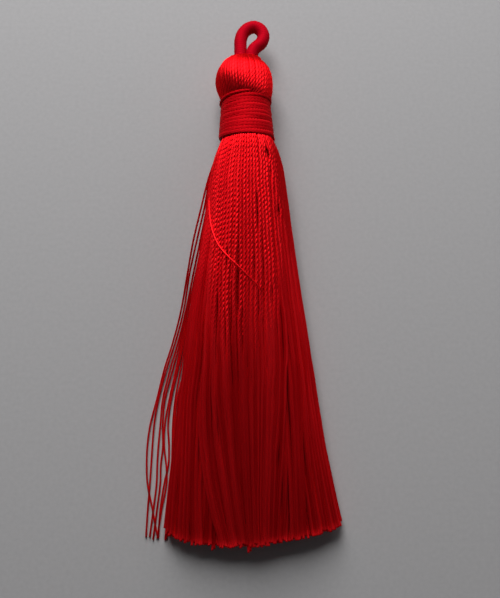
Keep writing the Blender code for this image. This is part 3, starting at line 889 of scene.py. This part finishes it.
def build_binding(material):
    """The binding thread, wound from the head down to the skirt."""
    rng = np.random.default_rng(SEED + 3)
    tubes = Tubes()
    length = BINDING_TURNS * 2.0 * math.pi * 0.5 * sum(BINDING_RADIUS)
    count = int(length / BINDING_STEP)
    share = np.linspace(0.0, 1.0, count)
    angle = 2.0 * math.pi * BINDING_TURNS * share
    ripple = sum(rng.uniform(*BINDING_RIPPLE) * np.sin(angle * rate + rng.uniform(0.0, 6.0))
                 for rate in BINDING_RIPPLE_RATES)
    pitch = (BINDING_TO - BINDING_FROM) / BINDING_TURNS
    lip = 1.0 - share_between(share * BINDING_TURNS, BINDING_LIP_TURNS)
    along = BINDING_FROM + (BINDING_TO - BINDING_FROM) * share + ripple * pitch * BINDING_WOBBLE
    along = along + BINDING_LEAN * share * np.sin(angle)
    along = along - BINDING_SKEW * (1.0 - share) * np.cos(angle)
    along = along - BINDING_GAP * lip * np.maximum(-np.cos(angle), 0.0)
    radius = mix(*BINDING_RADIUS, share) + BINDING_HEAVE * ripple + BINDING_LIP * lip
    radial = np.stack((np.cos(angle), np.zeros(count), np.sin(angle)), -1)
    axis = np.stack((mix(*BINDING_AXIS, share), -along, np.full(count, BINDING_HEIGHT)), -1)
    path = axis + radius[:, None] * radial
    side, lift = frames(path, radial)
    section = oval(BINDING_SIDES, mix(BINDING_WIDE, BINDING_LIP_WIDE, lip),
                   BINDING_THIN * (1.0 + lip))
    phase = 2.0 * math.pi * run_length(path) / BINDING_PITCH
    turned = 2.0 * (np.arange(BINDING_SIDES) * 2.0 * math.pi / BINDING_SIDES - phase[:, None])
    swing = np.sin(angle * BINDING_SHADE_RATES[0]) * np.cos(angle * BINDING_SHADE_RATES[1])
    tubes.add(path, side, lift, section * (1.0 + BINDING_LOBE * np.cos(turned)), BINDING_SIDES,
              BINDING_SHADE[0] + BINDING_SHADE[1] * swing, BINDING_LAY)
    return tubes.make("binding_thread", material)


def build_loop(material):
    """The cord loop, with the fine ridges of its winding."""
    tubes = Tubes()
    route = [(x, y, HEAD_AXIS[1] - drop) for x, y, drop in CORD_ROUTE]
    path = even_path(route, CORD_STEP)
    side, lift = frames(path, UP)
    angle = np.arange(CORD_SIDES) * 2.0 * math.pi / CORD_SIDES
    wave = 2.0 * math.pi * run_length(path)[:, None] / CORD_RIDGE_PITCH + angle[None, :]
    radius = CORD_RADIUS - CORD_RIDGE + CORD_RIDGE * np.cos(wave)
    tubes.add(path, side, lift, radius, CORD_SIDES, CORD_SHADE)
    return tubes.make("loop_cord", material)


def select_none():
    """Nothing selected, before an operator adds a shape."""
    bpy.ops.object.select_all(action="DESELECT")


def settle(piece, name, material):
    """Give a shape its name and finish, its place kept in its mesh."""
    bpy.ops.object.transform_apply(location=True, rotation=True, scale=True)
    piece.name = name
    piece.data.name = name
    piece.data.materials.clear()
    piece.data.materials.append(material)
    piece.data.shade_smooth()
    return piece


def cut_flat(y, keep_tips):
    """Cut the mesh in hand off flat across the tassel, and round the cut's rim."""
    bpy.ops.mesh.select_all(action="SELECT")
    bpy.ops.mesh.bisect(plane_co=(0.0, y * MM, 0.0), plane_no=(0.0, 1.0, 0.0), use_fill=True,
                        clear_inner=not keep_tips, clear_outer=keep_tips)
    bpy.ops.mesh.inset(thickness=RIM_INSET * MM)
    bpy.ops.transform.translate(value=(0.0, (RIM_RISE if keep_tips else -RIM_RISE) * MM, 0.0))


def build_head_core(material):
    """The folded silk under the head's outer threads."""
    select_none()
    bpy.ops.mesh.primitive_uv_sphere_add(
        segments=48, ring_count=24, radius=HEAD_CORE_RADIUS * MM,
        location=(HEAD_AXIS[0] * MM, 0.0, HEAD_AXIS[1] * MM), rotation=(math.radians(90.0), 0, 0))
    piece = bpy.context.object
    bpy.ops.object.mode_set(mode="EDIT")
    cut_flat(HEAD_CORE_FLATS[0], keep_tips=True)
    cut_flat(HEAD_CORE_FLATS[1], keep_tips=False)
    bpy.ops.object.mode_set(mode="OBJECT")
    return settle(piece, "head_core", material)


def build_neck_core(material):
    """The tied neck under the binding."""
    select_none()
    start, end = BINDING_FROM - NECK_CORE_PAST[0], BINDING_TO + NECK_CORE_PAST[1]
    bpy.ops.mesh.primitive_cone_add(
        vertices=64, radius1=(BINDING_RADIUS[1] - CORE_UNDER) * MM,
        radius2=(BINDING_RADIUS[0] - CORE_UNDER) * MM, depth=(end - start) * MM,
        location=(0.5 * sum(BINDING_AXIS) * MM, -0.5 * (start + end) * MM,
                  BINDING_HEIGHT * MM),
        rotation=(math.radians(-90.0), 0.0, 0.0))
    piece = bpy.context.object
    bpy.ops.object.mode_set(mode="EDIT")
    cut_flat(-start - NECK_CORE_FLATS, keep_tips=True)
    cut_flat(-end + NECK_CORE_FLATS, keep_tips=False)
    bpy.ops.object.mode_set(mode="OBJECT")
    return settle(piece, "neck_core", material)


def build_floor(material):
    """The plain surface that the tassel lies on."""
    select_none()
    bpy.ops.mesh.primitive_plane_add(size=FLOOR_SIZE * MM, location=(0.0, FLOOR_MIDDLE * MM, 0.0))
    return settle(bpy.context.object, "floor", material)


# ---------------------------------------------------------------- light and camera
def add_light(light):
    """A soft rectangular light that faces its aim."""
    data = bpy.data.lights.new(light.name, "AREA")
    data.shape = "RECTANGLE"
    data.size = light.size
    data.size_y = light.size_y
    data.energy = light.power
    data.color = light.colour
    lamp = bpy.data.objects.new(light.name, data)
    bpy.context.collection.objects.link(lamp)
    lamp.location = light.place
    direction = Vector(light.aim) - Vector(light.place)
    lamp.rotation_euler = direction.to_track_quat("-Z", "Y").to_euler()


def set_light():
    """A broad window beyond the loop's end, weak fills and a dim room."""
    for light in LIGHTS:
        add_light(light)
    world = bpy.data.worlds.new("studio")
    bpy.context.scene.world = world
    world.use_nodes = True
    back = world.node_tree.nodes["Background"]
    back.inputs["Color"].default_value = (*ROOM_COLOUR, 1.0)
    back.inputs["Strength"].default_value = ROOM_STRENGTH


def set_camera():
    """The camera, above the skirt's tips and looking a little towards the head."""
    data = bpy.data.cameras.new("camera")
    data.lens = CAMERA_LENS
    data.sensor_width = CAMERA_SENSOR
    data.clip_start = 0.01
    data.clip_end = 10.0
    camera = bpy.data.objects.new("camera", data)
    bpy.context.collection.objects.link(camera)
    camera.location = [length * MM for length in CAMERA_PLACE]
    camera.rotation_euler = (math.radians(CAMERA_TILT), 0.0, 0.0)
    bpy.context.scene.camera = camera
    bpy.context.scene.view_settings.view_transform = "Standard"


# ---------------------------------------------------------------- the tassel
def dress(piece, node):
    """The piece belongs to the tassel, and stands for one of its solids."""
    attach(piece, "root")
    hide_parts(node)


thread_silk = silk("thread_silk", (0.6, 0.002, 0.006), (0.95, 0.013, 0.019),
                   roughness=0.52, across=0.7, metallic=0.93, gloss=0.3)
binding_silk = silk("binding_silk", (0.46, 0.0, 0.004), (0.58, 0.002, 0.007),
                    roughness=0.75, across=0.3, metallic=0.4, gloss=0.15, lay=BINDING_LAY)
cord_silk = silk("cord_silk", (0.39, 0.0, 0.009), (0.455, 0.001, 0.011),
                 roughness=0.65, across=0.3, metallic=0.35, gloss=0.06, lay=0.0)
# painted shade: the cores' silk is painted far darker than the threads, for the shade in the gaps
# under the threads over them
painted_shade_silk = grained("silk_painted_shade", (0.1, 0.0, 0.002), (0.22, 0.0, 0.004),
                     grain=900.0, roughness=0.8, gloss=0.5)
pale_surface = grained("pale_surface", (0.366, 0.358, 0.359), (0.422, 0.412, 0.413),
                       grain=1400.0, roughness=0.95, gloss=0.1)

for threads in build_skirt(thread_silk):
    dress(threads, "skein")
dress(build_strays(thread_silk), "skein")
dress(build_head(thread_silk), "skein")
dress(build_head_core(painted_shade_silk), "skein")
dress(build_binding(binding_silk), "neck_wrap")
dress(build_neck_core(painted_shade_silk), "neck_wrap")
dress(build_loop(cord_silk), "hanging_loop")
build_floor(pale_surface)
set_light()
set_camera()
